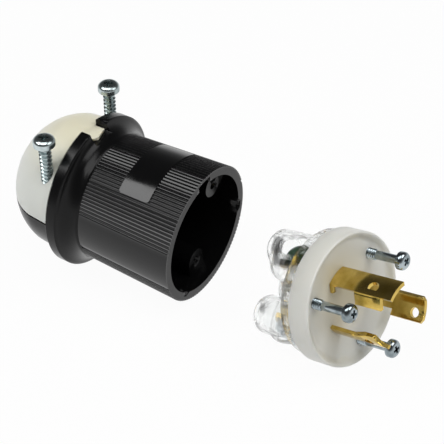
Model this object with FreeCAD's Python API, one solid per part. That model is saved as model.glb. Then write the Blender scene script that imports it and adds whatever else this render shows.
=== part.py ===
"""Locking power plug shown taken apart: ribbed housing with its cord clamp, and the blade assembly.

Each half is drawn in its own axis frame: X runs along the plug axis towards the mating face, Z is up.
Angles go round the axis from the top (+Z) towards the near side (-Y). Each half is then laid on the floor.
"""
import FreeCAD, Part

import logging
import math
import os

log = logging.getLogger("part")
VEC = FreeCAD.Vector

# Clearances and contact rules
PARTING_GAP = 0.25          # half the gap between the two halves of the cord end
SCREW_HOLE_CLEAR = 0.0      # captive screws thread into nylon line to line
CHAMBER_CLEAR = 0.3         # base plate of the wire chamber to the mouth wall
BOSS_CLEAR = 1.0            # boss faces to the wire chamber when closed

# Housing barrel
MOUTH_R = 19.0
BARREL_REAR_R = 17.75
BARREL_L = 28.5
RIB_DEPTH = 0.38
RIB_PITCH = 0.86
SHOULDER = 0.07             # the flare starts this much proud of the rib tips
SMOOTH_FROM = 72.0          # the smooth side panels, degrees from the top on both sides
SMOOTH_TO = 109.0
PAD_MID = 3.1               # smooth pad for a marking, left bare
PAD_HALF = 36.1
PAD_X0 = -19.1
PAD_X1 = -9.8
PAD_CORNER = 0.8

# Housing cavity
MOUTH_BORE_R = 16.55
BORE_REAR_R = 16.2
BORE_L = 26.0
THROAT_R = 14.6
OUTLET_R = 7.6
OUTLET_X = -53.2
REAR_X = -56.0

# Flange and cord end
FLANGE_LIP = 3.75           # the rim stands this far out of the barrel's rear end
FLANGE_R = BARREL_REAR_R + FLANGE_LIP
FLANGE_X0 = -33.15
FLANGE_X1 = -36.0
COLLAR_X = -36.6
COLLAR_STEP = 2.0
COLLAR_R = FLANGE_R - COLLAR_STEP
SKIN = 1.2                  # inner features stay this far under the surface of the cord end
GAP_HALF_WIDTH = 3.4
GAP_FLOOR_Z = BARREL_REAR_R + 0.55

# Mouth rim
KEY_MID = 1.7
KEY_HALF = 8.6
KEY_DEPTH = 2.4
KEY_WALL = 0.95             # wall left outside the keyway, from the rib tips in
SMALL_KEYS = ((-96.8, 2.2, 0.9), (144.5, 1.4, 1.5))
BOSS_TURN = 4.5             # the inner bosses against the captive screws as the halves lie

# Screws of the cord clamp
CLAMP_SCREW_X = -39.9
CLAMP_SCREW_Y = 14.2
CLAMP_SCREW_R = 1.7
CLAMP_HEAD_R = 2.95
CLAMP_HEAD_H = 2.4
CLAMP_SCREW_L = 19.05
CLAMP_SCREW_UNDERHEAD_Z = 22.4
CLAMP_BOSS_R = 3.7
CLAMP_PILOT_L = 9.0
TONGUE_HALF_WIDTH = 3.1
TONGUE_TIP_X = -32.6
JAW_R = 6.9
JAW_XS = (-46.0, -49.6)
JAW_W = 1.3

# Blade assembly
DISC_R = 17.2
DISC_REAR_X = -6.2
FACE_X = -1.55
FACE_R = 16.0
BLADE_R = 8.6
BLADE_T = 1.0
BLADE_R_IN = BLADE_R - BLADE_T / 2
BLADE_R_OUT = BLADE_R + BLADE_T / 2
GROUND_TIP_X = 17.0
NEAR_TIP_X = 14.2
FAR_TIP_X = 15.5
HOOK_X = 6.0
GROUND_ARC = (-4.8, 34.4)
GROUND_HOLE = (10.7, 20.5)  # station and angle
LEG_TURN = -9.5             # the ground blade's leg runs inwards along this angle
LEG_DEPTH = 3.6
ROOT_LEG_DEPTH = 2.3
LEG_TIP_X = 13.8
NEAR_HEAD = (101.5, 142.0)
NEAR_NECK = (111.0, 142.0)
NEAR_HOLE = (9.8, 121.0)
NEAR_RISE_X = 10.8          # the near blade's hook rises along a slant up to this station
NEAR_SLANT = 1.9            # the near blade's end edge leans back by this much at the hook
FAR_HEAD = (219.5, 264.0)
FAR_NECK = (230.8, 264.0)
FAR_HOLE = (12.8, 234.5)
BLADE_HOLE_R = 1.25
TIP_CORNER = 0.8

# Assembly screws
SCREW_PCD_R = 12.7
SCREW_ANGLES = (-57.5, 62.5, 182.5)
SCREW_HEAD_XS = (8.0, 8.45, 7.95)
SCREW_THREAD_R = 1.4
SCREW_SHANK_R = 1.15
SCREW_HEAD_R = 2.35
SCREW_HEAD_H = 2.0
SCREW_THREAD_END_X = 1.2
SCREW_TIP_X = -5.9
BOSS_R = 3.4
BOSS_HOLE_L = 14.0

# Wire chamber: a base, three terminal pockets, three domed wire entries and a hub
CHAMBER_BASE_T = 3.2
POCKET_PCD_R = 9.3
POCKET_R = 6.2
POCKET_END_X = -19.5
POCKET_ROUND = 2.0
POCKET_WALL = 1.3
DOME_ANGLES = (-5.0, 115.0, 224.0)
DOME_ENDS = (-23.8, -24.3, -28.0)
DOME_PCD_R = 9.86
DOME_R = 5.12
DOME_ROUND = 3.3
DOME_T = 2.4
WIRE_HOLE_R = 1.9
FUNNEL_R = 2.9
FUNNEL_L = 1.0
HUB_R = 7.6
HUB_X = -18.0

# Terminals
TERMINAL_ANGLES = (8.0, 128.0, 240.0)
TERMINAL_X = -13.5
TERMINAL_SEAT_R = 10.3
TERMINAL_SCREW_R = 1.75
TERMINAL_HEAD_R = 3.15
TERMINAL_HEAD_H = 2.0
TERMINAL_TIP_R = 5.6
TAB_HALF = 16.0             # half the tab's width in degrees
TAB_REAR_X = TERMINAL_X - TERMINAL_HEAD_R
TAB_STEP_X = DISC_REAR_X - 1.2
WINDOW_R = 3.6
WIRE_CLAMP_T = 1.2
WIRE_CLAMP_R0 = 6.4
WIRE_CLAMP_W = 5.6
WIRE_CLAMP_L = 5.2

# Where the two halves lie on the floor
DISC_OFFSET_X = 45.38
DISC_OFFSET_Y = -3.72
DISC_YAW = -9.7


def polar(x, radius, angle):
    """Return the point at an axial station, radius and angle from the top towards the near side."""
    rad = math.radians(angle)
    return VEC(x, -radius * math.sin(rad), radius * math.cos(rad))


def radial(angle):
    """Return the unit vector that points outwards at an angle."""
    return polar(0.0, 1.0, angle)


def revolve(steps):
    """Revolve a profile of (x, r) points and (mid, end) arcs about the X axis into a solid."""
    edges = []
    here = steps[0]
    for step in steps[1:]:
        if isinstance(step[0], tuple):
            mid, end = step
            arc = Part.Arc(VEC(here[0], 0, here[1]), VEC(mid[0], 0, mid[1]), VEC(end[0], 0, end[1]))
            edges.append(arc.toShape())
            here = end
        else:
            edges.append(Part.makeLine(VEC(here[0], 0, here[1]), VEC(step[0], 0, step[1])))
            here = step
    edges.append(Part.makeLine(VEC(here[0], 0, here[1]), VEC(steps[0][0], 0, steps[0][1])))
    face = Part.Face(Part.Wire(edges))
    return face.revolve(VEC(0, 0, 0), VEC(1, 0, 0), 360)


def rod(x0, x1, radius, at=VEC(0, 0, 0)):
    """Return a cylinder along X between two stations, centred on a point's Y and Z."""
    low = min(x0, x1)
    return Part.makeCylinder(radius, abs(x1 - x0), VEC(low, at.y, at.z), VEC(1, 0, 0))


def block(x0, x1, y0, y1, z0, z1):
    """Return a box between two corners."""
    return Part.makeBox(x1 - x0, y1 - y0, z1 - z0, VEC(x0, y0, z0))


def sector(x0, x1, r_in, r_out, a0, a1):
    """Return a curved strip: a ring sector pushed along X."""
    mid = 0.5 * (a0 + a1)
    outer = Part.Arc(polar(x0, r_out, a0), polar(x0, r_out, mid), polar(x0, r_out, a1)).toShape()
    inner = Part.Arc(polar(x0, r_in, a1), polar(x0, r_in, mid), polar(x0, r_in, a0)).toShape()
    side_a = Part.makeLine(polar(x0, r_out, a1), polar(x0, r_in, a1))
    side_b = Part.makeLine(polar(x0, r_in, a0), polar(x0, r_out, a0))
    face = Part.Face(Part.Wire([outer, side_a, inner, side_b]))
    return face.extrude(VEC(x1 - x0, 0, 0))


def turned(shape, angle):
    """Return a copy of a shape drawn at the top, turned round the axis to an angle."""
    copy = shape.copy()
    copy.rotate(VEC(0, 0, 0), VEC(1, 0, 0), angle)
    return copy


def single(shape):
    """Return the one solid of a boolean result."""
    solids = shape.Solids
    if len(solids) != 1:
        log.warning("expected one solid, got %d", len(solids))
    return max(solids, key=lambda solid: solid.Volume)


def barrel_r(x):
    """Return the rib tip radius of the barrel at a station."""
    return MOUTH_R + (MOUTH_R - BARREL_REAR_R) * x / BARREL_L


def ribbed_wire(x):
    """Return the toothed outline of the barrel at one station."""
    tip = barrel_r(x)
    root = tip - RIB_DEPTH
    flat = tip - 0.12
    points = []
    for start, stop in ((-SMOOTH_FROM, SMOOTH_FROM), (SMOOTH_TO, 360.0 - SMOOTH_TO)):
        count = round(math.radians(stop - start) * MOUTH_R / RIB_PITCH)
        step = (stop - start) / count
        for index in range(count):
            base = start + index * step
            points.append(polar(x, root, base + 0.10 * step))
            points.append(polar(x, tip, base + 0.32 * step))
            points.append(polar(x, tip, base + 0.68 * step))
            points.append(polar(x, root, base + 0.90 * step))
        panel = SMOOTH_TO - SMOOTH_FROM
        for index in range(1, 12):
            points.append(polar(x, flat, stop + panel * (index - 0.5) / 11.0))
    return Part.makePolygon(points + points[:1])


def cord_end_outer():
    """Return the solid of revolution of the flared flange and the rounded cord end."""
    return revolve([
        (-BARREL_L + 0.6, 0.0),
        (-BARREL_L + 0.6, BARREL_REAR_R - 2 * RIB_DEPTH),
        (-BARREL_L, BARREL_REAR_R - 2 * RIB_DEPTH),
        (-BARREL_L, BARREL_REAR_R + SHOULDER),
        ((-31.75, BARREL_REAR_R + 0.32 * FLANGE_LIP), (FLANGE_X0, FLANGE_R - 0.3)),
        (FLANGE_X0 - 0.3, FLANGE_R),
        (FLANGE_X1, FLANGE_R),
        (COLLAR_X, FLANGE_R - 0.6),
        (COLLAR_X, COLLAR_R),
        (-44.0, COLLAR_R - 0.8),
        ((-50.3, COLLAR_R - 4.0), (-55.0, OUTLET_R + 1.6)),
        ((-55.75, OUTLET_R + 0.9), (REAR_X, OUTLET_R + 0.2)),
        (REAR_X, 0.0),
    ])


def cord_end_core():
    """Return the cord end without its outer skin, which keeps inner features off the surface."""
    return revolve([
        (COLLAR_X + 0.8, 0.0),
        (COLLAR_X + 0.8, COLLAR_R - SKIN),
        (-44.0, COLLAR_R - 0.7 - SKIN),
        ((-49.8, COLLAR_R - 3.7 - SKIN), (-54.2, OUTLET_R + SKIN)),
        (-54.2, 0.0),
    ])


def cavity():
    """Return the hollow from the mouth through the throat to the cord outlet."""
    return revolve([
        (1.0, 0.0),
        (1.0, MOUTH_BORE_R),
        (0.0, MOUTH_BORE_R),
        (-BORE_L, BORE_REAR_R),
        (-BORE_L - 1.2, THROAT_R),
        (-44.5, THROAT_R),
        ((-49.8, 12.2), (OUTLET_X, OUTLET_R)),
        (REAR_X - 1.0, OUTLET_R),
        (REAR_X - 1.0, 0.0),
    ])


def jaw_rings(upper):
    """Return the half rings that bite on the cord, inside one half of the cord end."""
    rings = None
    for x in JAW_XS:
        ring = rod(x, x - JAW_W, THROAT_R + 0.6).cut(rod(x + 1, x - JAW_W - 1, JAW_R))
        rings = ring if rings is None else rings.fuse(ring)
    low, high = (PARTING_GAP, 30.0) if upper else (-30.0, -PARTING_GAP)
    return rings.common(block(-60, -30, -30, 30, low, high))


def clamp_bosses(upper):
    """Return the two columns round the clamp screws, inside one half of the cord end."""
    bosses = None
    for side in (-1, 1):
        column = Part.makeCylinder(CLAMP_BOSS_R, 60, VEC(CLAMP_SCREW_X, side * CLAMP_SCREW_Y, -30))
        bosses = column if bosses is None else bosses.fuse(column)
    low, high = (PARTING_GAP, 30.0) if upper else (-13.0, -PARTING_GAP)
    bosses = bosses.common(block(-60, COLLAR_X, -30, 30, low, high))
    return bosses.common(cord_end_core())


def make_pad():
    """Return the smooth pad that interrupts the ribs on top of the barrel."""
    inner = min(barrel_r(PAD_X0), barrel_r(PAD_X1)) - 1.3
    blank = sector(PAD_X0, PAD_X1, inner, inner + 3.0, PAD_MID - PAD_HALF, PAD_MID + PAD_HALF)
    corners = []
    for edge in blank.Edges:
        ends = [vertex.Point for vertex in edge.Vertexes]
        if len(ends) == 2 and abs(ends[0].x - ends[1].x) < 1e-6:
            spread = abs(math.hypot(ends[0].y, ends[0].z) - math.hypot(ends[1].y, ends[1].z))
            if spread > 1.0:
                corners.append(edge)
    blank = blank.makeFillet(PAD_CORNER, corners)
    cone = revolve([
        (PAD_X0 - 1, 0.0),
        (PAD_X0 - 1, barrel_r(PAD_X0 - 1) + SHOULDER),
        (PAD_X1 + 1, barrel_r(PAD_X1 + 1) + SHOULDER),
        (PAD_X1 + 1, 0.0),
    ])
    return blank.common(cone)


def make_housing():
    """Build the one-piece black housing."""
    barrel = Part.makeLoft([ribbed_wire(0.0), ribbed_wire(-BARREL_L)], True, True)
    body = barrel.fuse(make_pad())
    body = body.fuse(cord_end_outer())
    body = body.cut(cavity())
    body = body.cut(block(REAR_X - 2, COLLAR_X, -30, 30, -PARTING_GAP, 30))
    body = body.fuse(jaw_rings(False).common(cord_end_core()))
    body = body.fuse(clamp_bosses(False))
    boss_x = -(CHAMBER_BASE_T + BOSS_CLEAR)
    for screw_angle in SCREW_ANGLES:
        angle = screw_angle + BOSS_TURN
        centre = radial(angle) * SCREW_PCD_R
        column = rod(boss_x, -BORE_L - 1.0, BOSS_R, centre)
        web = turned(block(-BORE_L - 1.0, boss_x, -BOSS_R, BOSS_R, SCREW_PCD_R, MOUTH_BORE_R + 0.35), angle)
        body = body.fuse(column.fuse(web))
    for angle in SCREW_ANGLES:
        centre = radial(angle + BOSS_TURN) * SCREW_PCD_R
        body = body.cut(rod(boss_x + 1.0, boss_x - BOSS_HOLE_L, SCREW_SHANK_R, centre))
    for side in (-1, 1):
        pilot = Part.makeCylinder(
            CLAMP_SCREW_R - 0.25, CLAMP_PILOT_L, VEC(CLAMP_SCREW_X, side * CLAMP_SCREW_Y, -CLAMP_PILOT_L)
        )
        body = body.cut(pilot)
    body = body.cut(block(-37.5, -29.0, -GAP_HALF_WIDTH, GAP_HALF_WIDTH, GAP_FLOOR_Z, FLANGE_R + 2))
    key_span = (KEY_MID - KEY_HALF, KEY_MID + KEY_HALF)
    body = body.cut(sector(-KEY_DEPTH, 1.0, MOUTH_BORE_R - 0.7, MOUTH_R - KEY_WALL, *key_span))
    for angle, width, depth in SMALL_KEYS:
        half = 0.5 * math.degrees(width / MOUTH_BORE_R)
        body = body.cut(sector(-depth, 1.0, MOUTH_BORE_R - 0.7, MOUTH_BORE_R + 1.15, angle - half, angle + half))
    return single(body)


def make_cord_clamp():
    """Build the nylon cord clamp, the upper half of the cord end, with its tongue."""
    keep = block(REAR_X - 2, COLLAR_X, -30, 30, PARTING_GAP, 30)
    clamp = cord_end_outer().common(keep).cut(cavity())
    clamp = clamp.fuse(jaw_rings(True).common(cord_end_core()))
    clamp = clamp.fuse(clamp_bosses(True))
    outline = [
        VEC(COLLAR_X - 1.2, -TONGUE_HALF_WIDTH, GAP_FLOOR_Z),
        VEC(TONGUE_TIP_X - 1.6, -TONGUE_HALF_WIDTH, GAP_FLOOR_Z),
        VEC(TONGUE_TIP_X, -TONGUE_HALF_WIDTH * 0.35, GAP_FLOOR_Z),
        VEC(TONGUE_TIP_X - 1.0, TONGUE_HALF_WIDTH, GAP_FLOOR_Z),
        VEC(COLLAR_X - 1.2, TONGUE_HALF_WIDTH, GAP_FLOOR_Z),
    ]
    tongue = Part.Face(Part.makePolygon(outline + outline[:1])).extrude(VEC(0, 0, 6))
    tongue = tongue.common(rod(-30, -45, COLLAR_R - 0.25))
    clamp = clamp.fuse(tongue)
    for side in (-1, 1):
        hole = Part.makeCylinder(
            CLAMP_SCREW_R + SCREW_HOLE_CLEAR, 40, VEC(CLAMP_SCREW_X, side * CLAMP_SCREW_Y, -1)
        )
        clamp = clamp.cut(hole)
    return single(clamp)


def pan_head(radius, height, recess):
    """Return a pan head on +X with its seat at the origin, with a cross recess."""
    head = revolve([
        (0.0, 0.0),
        (0.0, radius),
        (0.35 * height, radius),
        ((0.82 * height, 0.78 * radius), (height, 0.35 * radius)),
        (height, 0.0),
    ])
    for turn in (0.0, 90.0):
        arm = block(0.45 * height, height + 1, -0.16 * radius, 0.16 * radius, -recess, recess)
        head = head.cut(turned(arm, turn + 22.0))
    return head


def make_clamp_screw(side):
    """Build one clamp screw, standing in the clamp as in the photo."""
    head = pan_head(CLAMP_HEAD_R, CLAMP_HEAD_H, 0.62 * CLAMP_HEAD_R)
    stem = rod(0.0, -CLAMP_SCREW_L + 0.6, CLAMP_SCREW_R)
    point = Part.makeCone(CLAMP_SCREW_R, 0.8, 0.6, VEC(-CLAMP_SCREW_L + 0.6, 0, 0), VEC(-1, 0, 0))
    screw = single(head.fuse(stem).fuse(point))
    screw.rotate(VEC(0, 0, 0), VEC(0, 1, 0), -90)
    screw.translate(VEC(CLAMP_SCREW_X, side * CLAMP_SCREW_Y, CLAMP_SCREW_UNDERHEAD_Z))
    return screw


def blade_hole(x, angle, radius):
    """Return the drill for a radial hole through a blade."""
    out = radial(angle)
    return Part.makeCylinder(radius, 10, VEC(x, out.y * 4, out.z * 4), VEC(0, out.y, out.z))


def terminal_tab(angle):
    """Return a blade's rear end: a step outwards inside the base, and the tab under the terminal screw."""
    low, high = angle - TAB_HALF, angle + TAB_HALF
    tab = sector(TAB_REAR_X, TAB_STEP_X, TERMINAL_SEAT_R - BLADE_T, TERMINAL_SEAT_R, low, high)
    step = sector(TAB_STEP_X - BLADE_T, TAB_STEP_X, BLADE_R_IN, TERMINAL_SEAT_R, low, high)
    return tab.fuse(step).cut(blade_hole(TERMINAL_X, angle, TERMINAL_SCREW_R))


def make_ground_blade():
    """Build the ground blade: an arc strip whose near edge is bent into a leg, notched at the face."""
    root = TAB_STEP_X - BLADE_T
    blade = sector(root, GROUND_TIP_X, BLADE_R_IN, BLADE_R_OUT, *GROUND_ARC)
    bend = math.radians(GROUND_ARC[1] - LEG_TURN)
    edge_y = -BLADE_R_OUT * math.sin(bend)
    edge_z = BLADE_R_OUT * math.cos(bend)
    for x0, x1, depth in ((root, FACE_X + 0.9, ROOT_LEG_DEPTH), (HOOK_X, LEG_TIP_X, LEG_DEPTH)):
        leg = block(x0, x1, edge_y, edge_y + BLADE_T, edge_z - depth, edge_z - 0.1)
        blade = blade.fuse(turned(leg, LEG_TURN))
    blade = blade.cut(blade_hole(*GROUND_HOLE, BLADE_HOLE_R + 0.2))
    return single(blade.fuse(terminal_tab(TERMINAL_ANGLES[0])))


def flat_cut(points, angle):
    """Return the cutter over points of station and offset in a blade's own plane, turned to an angle."""
    corners = [VEC(x, offset, 0) for x, offset in points]
    return turned(Part.Face(Part.makePolygon(corners + corners[:1])).extrude(VEC(0, 0, 14)), angle)


def slanted_hook(blade, tip_x, head, neck):
    """Cut the near blade's hook edge and its end edge to their slants."""
    mid = 0.5 * (head[0] + head[1])
    top = BLADE_R * math.sin(math.radians(mid - head[0]))
    low = BLADE_R * math.sin(math.radians(mid - neck[0]))
    rise = [(HOOK_X - 0.5, low + 0.02), (HOOK_X, low + 0.02), (NEAR_RISE_X, top + 0.3), (HOOK_X - 0.5, top + 2.0)]
    end = [(tip_x - NEAR_SLANT, top + 1.0), (tip_x, -0.5 * top), (tip_x + 1.0, top + 1.0)]
    return blade.cut(flat_cut(rise, mid)).cut(flat_cut(end, mid))


def line_blade(tip_x, head, neck, hole, tab_angle):
    """Build one line blade: a narrow neck at the face and a wider hooked head."""
    blade = sector(TAB_STEP_X - BLADE_T, tip_x, BLADE_R_IN, BLADE_R_OUT, *neck)
    blade = blade.fuse(sector(HOOK_X, tip_x, BLADE_R_IN, BLADE_R_OUT, *head))
    mid = 0.5 * (head[0] + head[1])
    half_w = BLADE_R * math.sin(math.radians(0.5 * (head[1] - head[0])))
    for side in (-1, 1):
        corner = [
            (tip_x - TIP_CORNER, side * (half_w + 0.6)),
            (tip_x + 0.5, side * (half_w + 0.6)),
            (tip_x + 0.5, side * (half_w - TIP_CORNER)),
            (tip_x, side * (half_w - TIP_CORNER)),
        ]
        blade = blade.cut(flat_cut(corner, mid))
    blade = blade.cut(blade_hole(*hole, BLADE_HOLE_R))
    return single(blade.fuse(terminal_tab(tab_angle)))


def make_blades():
    """Build the three blades by node name."""
    near = line_blade(NEAR_TIP_X, NEAR_HEAD, NEAR_NECK, NEAR_HOLE, TERMINAL_ANGLES[1])
    near = single(slanted_hook(near, NEAR_TIP_X, NEAR_HEAD, NEAR_NECK))
    far = line_blade(FAR_TIP_X, FAR_HEAD, FAR_NECK, FAR_HOLE, TERMINAL_ANGLES[2])
    return {"ground_blade": make_ground_blade(), "line_blade_near": near, "line_blade_far": far}


def make_face_disc(blades):
    """Build the milky face disc with slots that fit the blades."""
    disc = revolve([
        (DISC_REAR_X, 0.0),
        (DISC_REAR_X, DISC_R - 0.2),
        (DISC_REAR_X + 0.2, DISC_R),
        (-0.45, DISC_R),
        ((-0.13, DISC_R - 0.13), (0.0, DISC_R - 0.45)),
        ((0.55 * FACE_X + 0.7, FACE_R + 0.5), (0.55 * FACE_X, FACE_R - 0.1)),
        ((0.9 * FACE_X, FACE_R - 0.7), (FACE_X, FACE_R - 1.6)),
        (FACE_X, 0.0),
    ])
    for angle in SCREW_ANGLES:
        centre = radial(angle) * SCREW_PCD_R
        disc = disc.cut(rod(DISC_REAR_X - 1, 2, SCREW_THREAD_R + SCREW_HOLE_CLEAR, centre))
    for blade in blades.values():
        disc = disc.cut(blade)
    return single(disc)


def capped_rod(end, radius, rounding, centre):
    """Return a rod from the disc's rear to an end that is rounded over."""
    shape = rod(end, DISC_REAR_X, radius, centre)
    rims = [edge for edge in shape.Edges if abs(edge.BoundBox.XMax - end) < 1e-3]
    return shape.makeFillet(rounding, rims)


def make_wire_chamber(blades):
    """Build the clear wire chamber with its terminal pockets and its domed wire entries."""
    base_x = DISC_REAR_X - CHAMBER_BASE_T
    chamber = rod(base_x, DISC_REAR_X, MOUTH_BORE_R - CHAMBER_CLEAR).fuse(rod(HUB_X, DISC_REAR_X, HUB_R))
    for angle in TERMINAL_ANGLES:
        chamber = chamber.fuse(capped_rod(POCKET_END_X, POCKET_R, POCKET_ROUND, radial(angle) * POCKET_PCD_R))
    for angle, end in zip(DOME_ANGLES, DOME_ENDS):
        chamber = chamber.fuse(capped_rod(end, DOME_R, DOME_ROUND, radial(angle) * DOME_PCD_R))
    for angle in TERMINAL_ANGLES:
        room_x = POCKET_END_X + POCKET_WALL
        room = rod(room_x, DISC_REAR_X + 1, POCKET_R - POCKET_WALL, radial(angle) * POCKET_PCD_R)
        window = Part.makeCylinder(WINDOW_R, 8, VEC(TERMINAL_X, 0, POCKET_PCD_R + 2.0))
        chamber = chamber.cut(room.fuse(turned(window, angle)))
    for angle, end in zip(DOME_ANGLES, DOME_ENDS):
        centre = radial(angle) * DOME_PCD_R
        entry = rod(end + DOME_T, POCKET_END_X + POCKET_WALL + 0.5, DOME_R - POCKET_WALL, centre)
        entry = entry.fuse(rod(end - 1, end + DOME_T + 0.5, WIRE_HOLE_R, centre))
        funnel = Part.makeCone(FUNNEL_R, WIRE_HOLE_R, FUNNEL_L, VEC(end, 0, DOME_PCD_R), VEC(1, 0, 0))
        chamber = chamber.cut(entry.fuse(turned(funnel, angle)))
    for angle in SCREW_ANGLES:
        centre = radial(angle) * SCREW_PCD_R
        chamber = chamber.cut(rod(base_x - 1, DISC_REAR_X + 1, SCREW_THREAD_R + 0.3, centre))
    for blade in blades.values():
        chamber = chamber.cut(blade)
    return single(chamber)


def make_assembly_screw(angle, seat_x):
    """Build one captive assembly screw, drawn forward out of the disc."""
    head = pan_head(SCREW_HEAD_R, SCREW_HEAD_H, 0.62 * SCREW_HEAD_R)
    head.translate(VEC(seat_x, 0, 0))
    shank = rod(SCREW_THREAD_END_X - 0.5, seat_x, SCREW_SHANK_R)
    thread = rod(SCREW_TIP_X, SCREW_THREAD_END_X, SCREW_THREAD_R)
    screw = single(head.fuse(shank).fuse(thread))
    screw.translate(radial(angle) * SCREW_PCD_R)
    return screw


def make_terminal_screw(angle):
    """Build one radial terminal screw with its slotted head on the blade's outer face."""
    seat = TERMINAL_SEAT_R
    head = Part.makeCylinder(TERMINAL_HEAD_R, TERMINAL_HEAD_H, VEC(TERMINAL_X, 0, seat))
    rims = [edge for edge in head.Edges if abs(edge.BoundBox.ZMin - seat - TERMINAL_HEAD_H) < 1e-3]
    head = head.makeFillet(0.4, rims)
    top = seat + TERMINAL_HEAD_H
    slot = block(TERMINAL_X - 4, TERMINAL_X + 4, -0.45, 0.45, top - 0.9, top + 1)
    head = head.cut(slot)
    stem = Part.makeCylinder(TERMINAL_SCREW_R, seat + 0.1 - TERMINAL_TIP_R, VEC(TERMINAL_X, 0, TERMINAL_TIP_R))
    return turned(single(head.fuse(stem)), angle)


def make_wire_clamp(angle):
    """Build the brass wire clamp that the terminal screw draws up under the blade."""
    plate = block(
        TERMINAL_X - WIRE_CLAMP_L / 2, TERMINAL_X + WIRE_CLAMP_L / 2,
        -WIRE_CLAMP_W / 2, WIRE_CLAMP_W / 2,
        WIRE_CLAMP_R0, WIRE_CLAMP_R0 + WIRE_CLAMP_T,
    )
    plate = plate.makeFillet(0.5, [edge for edge in plate.Edges if edge.BoundBox.ZLength > 1.0])
    hole = Part.makeCylinder(TERMINAL_SCREW_R, 6, VEC(TERMINAL_X, 0, WIRE_CLAMP_R0 - 2))
    return turned(single(plate.cut(hole)), angle)


def floor_tilt():
    """Return the tilt of the blade assembly lying on its disc rim and its lowest dome, in radians."""
    tilts = []
    for angle, end in zip(DOME_ANGLES, DOME_ENDS):
        run = DISC_REAR_X - (end + DOME_ROUND)
        rise = DISC_R + DOME_PCD_R * math.cos(math.radians(angle)) - (DOME_R - DOME_ROUND)
        tilts.append(math.asin(-DOME_ROUND / math.hypot(run, rise)) + math.atan2(rise, run))
    return min(tilts)


def place_housing(shape):
    """Lay a housing piece on the flange rim and the mouth rim."""
    tilt = math.asin((FLANGE_R - MOUTH_R) / math.hypot(FLANGE_X0 - 0.3, FLANGE_R - MOUTH_R))
    copy = shape.copy()
    copy.rotate(VEC(0, 0, 0), VEC(0, 1, 0), math.degrees(tilt))
    return copy


def place_insert(shape):
    """Lay a piece of the blade assembly on the floor in front of the mouth."""
    tilt = floor_tilt()
    copy = shape.copy()
    copy.rotate(VEC(0, 0, 0), VEC(0, 1, 0), -math.degrees(tilt))
    copy.rotate(VEC(0, 0, 0), VEC(0, 0, 1), DISC_YAW)
    copy.translate(VEC(DISC_OFFSET_X, DISC_OFFSET_Y, 0))
    return copy


def on_floor(parts):
    """Move one half straight up or down until it touches the floor."""
    lowest = min(shape.optimalBoundingBox(False, False).ZMin for shape in parts.values())
    for shape in parts.values():
        shape.translate(VEC(0, 0, -lowest))
    return parts


def housing_parts():
    """Build and place the pieces of the housing half by node name."""
    parts = {"housing": make_housing(), "cord_clamp": make_cord_clamp()}
    parts["clamp_screw_near"] = make_clamp_screw(-1)
    parts["clamp_screw_far"] = make_clamp_screw(1)
    return on_floor({name: place_housing(shape) for name, shape in parts.items()})


def insert_parts():
    """Build and place the pieces of the blade half by node name."""
    blades = make_blades()
    parts = {"face_disc": make_face_disc(blades), "wire_chamber": make_wire_chamber(blades)}
    parts.update(blades)
    for index, (angle, seat_x) in enumerate(zip(SCREW_ANGLES, SCREW_HEAD_XS), start=1):
        parts[f"assembly_screw_{index}"] = make_assembly_screw(angle, seat_x)
    for name, angle in zip(("ground", "near", "far"), TERMINAL_ANGLES):
        parts[f"terminal_screw_{name}"] = make_terminal_screw(angle)
        parts[f"wire_clamp_{name}"] = make_wire_clamp(angle)
    return on_floor({name: place_insert(shape) for name, shape in parts.items()})


def main():
    """Build every piece, centre the set on the floor and write one STEP file per node."""
    logging.basicConfig(level=logging.INFO)
    parts = housing_parts()
    parts.update(insert_parts())
    box = FreeCAD.BoundBox()
    for shape in parts.values():
        box.add(shape.optimalBoundingBox(False, False))
    shift = VEC(-box.Center.x, -box.Center.y, -box.ZMin)
    log.info("bounds %.3f x %.3f x %.3f mm, shift %s", box.XLength, box.YLength, box.ZLength, shift)
    os.makedirs("parts", exist_ok=True)
    for name, shape in parts.items():
        shape.translate(shift)
        if not shape.isValid():
            log.warning("%s is not valid", name)
        shape.exportStep(f"parts/{name}.step")
        log.info("%s: %d faces, %.2f cm3", name, len(shape.Faces), shape.Volume / 1000)


main()
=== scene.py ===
"""Looks of a locking power plug that lies taken apart: housing half and blade half on a white table."""
import logging
import math
from dataclasses import dataclass, field
from enum import Enum
from typing import Callable, Iterable, Sequence

import bmesh
import bpy
from mathutils import Matrix, Vector


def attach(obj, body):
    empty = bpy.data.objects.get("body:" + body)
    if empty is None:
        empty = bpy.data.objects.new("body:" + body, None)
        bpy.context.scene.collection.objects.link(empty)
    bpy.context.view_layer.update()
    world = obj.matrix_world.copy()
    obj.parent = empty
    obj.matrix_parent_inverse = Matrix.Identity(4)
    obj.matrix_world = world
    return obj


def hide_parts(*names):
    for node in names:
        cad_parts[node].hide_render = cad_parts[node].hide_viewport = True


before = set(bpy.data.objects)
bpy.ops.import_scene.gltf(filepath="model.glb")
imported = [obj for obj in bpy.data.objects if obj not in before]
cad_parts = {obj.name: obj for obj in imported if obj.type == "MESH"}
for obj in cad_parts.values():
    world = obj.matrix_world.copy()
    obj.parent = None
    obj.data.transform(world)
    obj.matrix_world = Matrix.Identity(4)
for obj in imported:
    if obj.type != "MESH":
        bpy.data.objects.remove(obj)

logging.basicConfig(level=logging.INFO, format="%(name)s: %(message)s")
log = logging.getLogger("plug")

MM = 0.001
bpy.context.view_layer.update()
NODE_WELD_M = 2e-6
WELD_MM = 1e-4
THREAD_WELD_MM = 1e-3
SNAP_OVER_MM = 0.02
GRAIN_HEIGHT_MM = 0.02
NOISE_LOW, NOISE_HIGH = 0.3, 0.7

Colour = tuple[float, float, float]
Pair = tuple[float, float]


# Geometry helpers

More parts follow.
